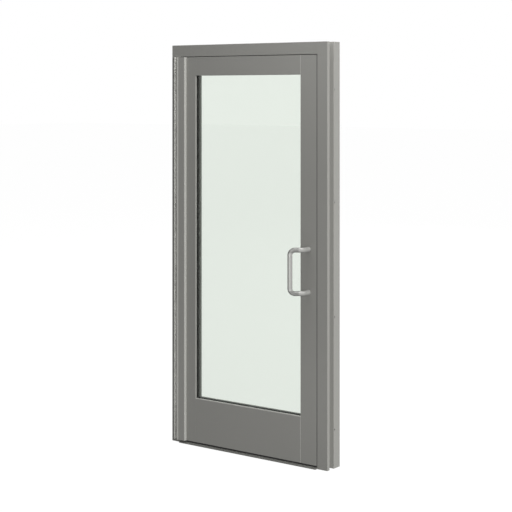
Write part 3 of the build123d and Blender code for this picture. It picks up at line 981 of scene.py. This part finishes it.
@dataclass
class Leaf(Assembly):
    """Swinging leaf: stiles, rails, beads, tie rods and edge seals.

    Attributes:
        seam_highlight_reach: half the width of the painted highlight at the rails' seam with the lock stile,
            in metres.
        seam_highlight_gain: how much brighter that painted highlight is.
        arris_highlight_reach: height of the painted highlight along the bottom rail's top edge under the
            glass, which stands for a lit arris, in metres.
        arris_highlight_gain: how much brighter that painted highlight is.
        arris_highlight_soft: share over which it fades out.
    """

    seam_highlight_reach: float = 0.0016
    seam_highlight_gain: float = 1.3
    arris_highlight_reach: float = 0.0046
    arris_highlight_gain: float = 0.75
    arris_highlight_soft: float = 0.2

    def edges(self) -> Tuple[PaintedLight, ...]:
        """Finds the rails' painted highlights: at the seam with the lock stile and along the top edge under
        the glass.

        Returns:
            One painted highlight for each.
        """
        seam = Band(Axis.X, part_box("stile_lock")[0].x, self.seam_highlight_reach)
        arris = Band(Axis.Z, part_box("rail_bottom")[1].z, self.arris_highlight_reach, self.arris_highlight_soft)
        return PaintedLight(self.seam_highlight_gain, (seam,)), PaintedLight(self.arris_highlight_gain, (arris,))

    def coats(self) -> Coats:
        """Lists the leaf's finishes.

        Returns:
            Each finish with the CAD nodes that wear it.
        """
        # painted highlights: the rails' coat is lighter at the lock-stile seam and under the glass
        rails = CoatedMetal("coat_rail_painted_highlights", GREY, COAT_ROUGHNESS, COAT_METAL, Run.ACROSS, self.edges())
        return (
            (rails, ("rail_top", "rail_bottom")),
            (UPRIGHT_COAT, ("stile_hinge", "stile_lock", "bead_hinge", "bead_lock")),
            (ACROSS_COAT, ("bead_top", "bead_bottom")),
            (BLACK_RUBBER, ("bottom_sweep", "edge_seal")),
            (ZINC_STEEL, ("tie_rod_top", "tie_rod_bottom", "tie_nuts")),
        )

    def build(self, paints: Paints) -> None:
        """Makes the lock edge's seal.

        Args:
            paints: the materials.
        """
        LipSeal("edge_lip_seal", "edge_seal", Body.LEAF, "black_rubber").build(paints.of(BLACK_RUBBER))


@dataclass
class Glazing(Assembly):
    """Two lites with their spacer, gaskets and setting blocks."""

    def coats(self) -> Coats:
        """Lists the glazing's finishes.

        Returns:
            Each finish with the CAD nodes that wear it.
        """
        return (
            (FLOAT_GLASS, ("glass_outer", "glass_inner")),
            (SPACER_BLACK, ("glass_spacer",)),
            (BLACK_RUBBER, ("gasket_outer", "gasket_inner", "setting_blocks")),
        )


@dataclass
class Hinge(Assembly):
    """Full-height hinge: two leaves, pin, cover and screws.

    Attributes:
        barrel_highlight_turn: from the pin to the painted highlight on the barrel's side, in metres.
        barrel_highlight_reach: half that painted highlight's width.
        barrel_highlight_soft: share over which it fades out.
        barrel_highlight_gain: how much brighter it is.
        cover_highlight_reach: half the width of the painted highlight on the cover's edge.
        cover_highlight_gain: how much brighter it is.
        roughness: the hinge coat's roughness.
        metallic: its metal share.
        screw_count: screws in the frame leaf.
        screw_sink: depth of a screw's head.
        seat_share: head radius at the seat, as a share of the head's.
        shank_share: shank radius, as a share of the head's.
    """

    barrel_highlight_turn: float = 0.0092
    barrel_highlight_reach: float = 0.0055
    barrel_highlight_soft: float = 0.5
    barrel_highlight_gain: float = 1.9
    cover_highlight_reach: float = 0.006
    cover_highlight_gain: float = 0.20
    roughness: float = 0.46
    metallic: float = 0.30
    screw_count: int = 9
    screw_sink: float = 0.0025
    seat_share: float = 0.56
    shank_share: float = 0.5

    def painted_light(self) -> Tuple[PaintedLight, ...]:
        """Finds the painted highlights on the hinge's barrel and cover edge.

        Returns:
            One painted highlight for each.
        """
        low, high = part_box("hinge_pin")
        side = (low.x + high.x) / 2 + self.barrel_highlight_turn
        barrel = Band(Axis.X, side, self.barrel_highlight_reach, self.barrel_highlight_soft)
        cover = Band(Axis.X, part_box("hinge_leaf_cover")[1].x, self.cover_highlight_reach)
        return PaintedLight(self.barrel_highlight_gain, (barrel,)), PaintedLight(self.cover_highlight_gain, (cover,))

    def coats(self) -> Coats:
        """Lists the hinge's finishes.

        Returns:
            Each finish with the CAD nodes that wear it.
        """
        # painted highlights: the hinge coat is lighter on the barrel's side and the cover's edge
        coat = CoatedMetal("coat_hinge_painted_highlights", PALE, self.roughness, self.metallic, Run.UPRIGHT, self.painted_light())
        return (
            (coat, ("hinge_leaf_frame", "hinge_leaf_door", "hinge_leaf_cover")),
            (ZINC_STEEL, ("hinge_frame_screws", "hinge_door_screws", "hinge_pin")),
        )

    def build(self, paints: Paints) -> None:
        """Makes the frame leaf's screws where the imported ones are.

        Args:
            paints: the materials.
        """
        low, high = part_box("hinge_frame_screws")
        head = (high.x - low.x) / 2
        ScrewRow(
            "hinge_frame_screw_row", "hinge_frame_screws", Body.FRAME, "fastener_steel",
            start=((low.x + high.x) / 2, low.y + self.screw_sink, low.z + head),
            step=(0.0, 0.0, (high.z - low.z - 2 * head) / (self.screw_count - 1)),
            count=self.screw_count,
            seat_radius=head * self.seat_share,
            crown_radius=head,
            head_height=self.screw_sink,
            shank_radius=head * self.shank_share,
            shank_length=high.y - low.y - self.screw_sink,
            outward=-1,
            recess=Recess.CROSS,
        ).build(paints.of(ZINC_STEEL))


@dataclass
class Pull(Assembly):
    """Bent pull with its bolts and washers.

    Attributes:
        bar_radius: radius of the bar, in metres.
        bend_shade_in: half the width of the painted shade at a bend.
        bend_shade_high: half its height.
        bend_shade_soft: share over which it fades out across.
        bend_shade_gain: brightness that the painted shade takes away.
        base: the bar's colour.
        roughness: the bar's roughness.
        metallic: its metal share.
        bolt_count: bolts in the pull.
        bolt_tall: height of a bolt's head.
        bolt_shank: radius of its shank.
        crown_share: head radius at the outer face, as a share of the head's.
    """

    bar_radius: float = 0.0127
    bend_shade_in: float = 0.030
    bend_shade_high: float = 0.017
    bend_shade_soft: float = 0.3
    bend_shade_gain: float = -0.42
    base: Triple = (0.30, 0.30, 0.288)
    roughness: float = 0.50
    metallic: float = 0.60
    bolt_count: int = 2
    bolt_tall: float = 0.005
    bolt_shank: float = 0.005
    crown_share: float = 0.82

    def bend_shade(self) -> Tuple[PaintedLight, ...]:
        """Finds the grip's two ends, where the bar turns; they get painted shade.

        Returns:
            One patch of painted shade for each end of the grip.
        """
        low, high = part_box("pull_handle")
        across = Band(Axis.X, low.x + self.bend_shade_in, self.bend_shade_in, self.bend_shade_soft)
        ends = (low.z + self.bar_radius, high.z - self.bar_radius)
        return tuple(PaintedLight(self.bend_shade_gain, (across, Band(Axis.Z, end, self.bend_shade_high))) for end in ends)

    def coats(self) -> Coats:
        """Lists the pull's finishes.

        Returns:
            Each finish with the CAD nodes that wear it.
        """
        # painted shade: the bar is darker where it turns into the grip
        bar = BrushedBar("pull_satin_painted_shade", self.base, self.roughness, self.metallic, self.bend_shade())
        return (bar, ("pull_handle",)), (ZINC_STEEL, ("pull_bolts", "pull_washers"))

    def build(self, paints: Paints) -> None:
        """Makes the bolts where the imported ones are.

        Args:
            paints: the materials.
        """
        low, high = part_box("pull_bolts")
        head = (high.x - low.x) / 2
        ScrewRow(
            "pull_bolt_row", "pull_bolts", Body.LEAF, "fastener_steel",
            start=((low.x + high.x) / 2, high.y - self.bolt_tall, low.z + head),
            step=(0.0, 0.0, (high.z - low.z - 2 * head) / (self.bolt_count - 1)),
            count=self.bolt_count,
            seat_radius=head,
            crown_radius=head * self.crown_share,
            head_height=self.bolt_tall,
            shank_radius=self.bolt_shank,
            shank_length=high.y - low.y - self.bolt_tall,
            outward=1,
            recess=Recess.HEX,
        ).build(paints.of(ZINC_STEEL))


@dataclass(frozen=True)
class Lamp:
    """A soft area light.

    Attributes:
        name: light name.
        place: where it stands, in metres.
        aim: what it points at.
        size: width and height, in metres.
        watts: its power.
        mirrored: whether glossy surfaces show it.
        lights: whether it lights dull surfaces too.
    """

    name: str
    place: Triple
    aim: Triple
    size: Tuple[float, float]
    watts: float
    mirrored: bool = False
    lights: bool = True

    def build(self) -> None:
        """Adds the light, hidden from the camera and behind glass."""
        data = bpy.data.lights.new(self.name, "AREA")
        data.shape = "RECTANGLE"
        data.size, data.size_y = self.size
        data.energy = self.watts
        lamp = bpy.data.objects.new(self.name, data)
        lamp.location = self.place
        lamp.visible_camera = False
        lamp.visible_transmission = False
        lamp.visible_glossy = self.mirrored
        lamp.visible_diffuse = self.lights
        lamp.rotation_euler = (Vector(self.aim) - Vector(self.place)).to_track_quat("-Z", "Y").to_euler()
        bpy.context.scene.collection.objects.link(lamp)
        LOG.info("light %s", self.name)


LAMPS = (
    Lamp("key_right", (14.3, -4.9, 3.2), (0.2, 0.0, 1.2), (6.0, 6.0), 5780.0),
    Lamp("fill_high", (0.4, -0.85, 2.55), (0.1, 0.0, 2.05), (1.2, 0.4), 5.0),
    Lamp("top", (0.5, 0.0, 6.0), (0.0, 0.0, 0.0), (5.0, 5.0), 380.0, mirrored=True),
    Lamp("bounce", (-0.2, -1.2, 0.12), (-0.2, 0.0, 0.12), (1.4, 0.15), 3.5),
    Lamp("back", (1.5, 11.0, 2.6), (0.0, 0.0, 1.1), (6.0, 4.0), 1300.0),
    Lamp("card", (0.45, -0.72, 1.2), (-0.5, 0.0, 1.2), (0.4, 2.4), 9.0, mirrored=True, lights=False),
)


@dataclass
class Studio:
    """Floor, light and camera of the photograph.

    Attributes:
        lamps: the lights.
        eye: camera place, in metres.
        heading: camera turn about Z, in degrees.
        sensor: sensor width, in millimetres.
        lens: focal length on that sensor.
        shift: vertical shift of the picture.
        sight: how far the camera sees, in metres.
        ambient: backdrop light on rough surfaces.
        mirrored: backdrop light in reflections.
        floor_reach: half the floor's width, in metres.
        floor_base: floor colour under the lamps.
        floor_glow: floor brightness to the eye, before its own light.
        near_shade: share of painted shade on the floor just behind the glass, as seen through it.
        near_reach: how far back that painted shade halves, in metres.
    """

    lamps: Sequence[Lamp] = LAMPS
    eye: Triple = (4.4704, -5.8865, 1.9304)
    heading: float = 37.09
    sensor: float = 36.0
    lens: float = 96.75
    shift: float = -162.5 / 512.0
    sight: float = 200.0
    ambient: float = 0.26
    mirrored: float = 0.36
    floor_reach: float = 60.0
    floor_base: Triple = (0.04, 0.04, 0.04)
    floor_glow: float = 0.98
    near_shade: float = 0.13
    near_reach: float = 3.0

    def build(self) -> None:
        """Makes the floor, world, lights and camera."""
        self.floor()
        self.world()
        for lamp in self.lamps:
            lamp.build()
        self.camera()

    def floor(self) -> None:
        """Makes the pale floor, which takes the shadow."""
        far = self.floor_reach
        mesh = bpy.data.meshes.new("floor")
        mesh.from_pydata([(-far, -far, 0), (far, -far, 0), (far, far, 0), (-far, far, 0)], [], [(0, 1, 2, 3)])
        floor = bpy.data.objects.new("floor", mesh)
        bpy.context.scene.collection.objects.link(floor)
        material = bpy.data.materials.new("pale_floor")
        material.use_nodes = True
        bsdf = material.node_tree.nodes["Principled BSDF"]
        bsdf.inputs["Base Color"].default_value = (*self.floor_base, 1.0)
        bsdf.inputs["Roughness"].default_value = 1.0
        bsdf.inputs["Specular IOR Level"].default_value = 0.0
        graph = Graph(material.node_tree)
        # painted shade: seen through the glass, the floor is darker just behind the door
        behind = graph.along(Axis.Y).at_least(0.0)
        dimmed = graph.ray(Ray.THROUGH) * (1.0 - self.near_shade / (1.0 + behind / self.near_reach))
        shown = dimmed.at_least(graph.ray(Ray.GLOSSY) * self.mirrored)
        glow = shown.at_least(graph.ray(Ray.CAMERA))
        white = graph.node("ShaderNodeCombineColor", None, {0: glow, 1: glow, 2: glow})
        graph.feed(bsdf.inputs["Emission Color"], white)
        bsdf.inputs["Emission Strength"].default_value = self.floor_glow
        mesh.materials.append(material)
        LOG.info("floor")

    def world(self) -> None:
        """Makes a white backdrop with softer ambient light."""
        world = bpy.data.worlds.new("studio")
        bpy.context.scene.world = world
        world.use_nodes = True
        tree = world.node_tree
        tree.nodes.clear()
        graph = Graph(tree)
        seen = graph.ray(Ray.CAMERA).at_least(graph.ray(Ray.THROUGH))
        soft = self.ambient + graph.ray(Ray.GLOSSY) * (self.mirrored - self.ambient)
        strength = soft + seen * (1.0 - soft)
        back = graph.node("ShaderNodeBackground", None, {"Color": (1.0, 1.0, 1.0, 1.0), "Strength": strength})
        graph.feed(tree.nodes.new("ShaderNodeOutputWorld").inputs["Surface"], back)
        LOG.info("world")

    def camera(self) -> None:
        """Places the camera at the photograph's view."""
        data = bpy.data.cameras.new("camera")
        data.sensor_width = self.sensor
        data.sensor_fit = "HORIZONTAL"
        data.lens = self.lens
        data.shift_y = self.shift
        data.clip_end = self.sight
        camera = bpy.data.objects.new("camera", data)
        camera.location = self.eye
        camera.rotation_euler = (math.pi / 2, 0.0, math.radians(self.heading))
        bpy.context.scene.collection.objects.link(camera)
        bpy.context.scene.camera = camera
        LOG.info("camera")


def main() -> None:
    """Builds the door's looks in order."""
    logging.basicConfig(level=logging.INFO, format="%(name)s: %(message)s")
    bpy.context.scene.view_settings.view_transform = "Standard"
    paints = Paints()
    for part in (Surround(), Glazing(), Hinge(), Pull(), Leaf()):
        part.dress(paints)
        part.build(paints)
    Studio().build()


if __name__ == "__main__":
    main()
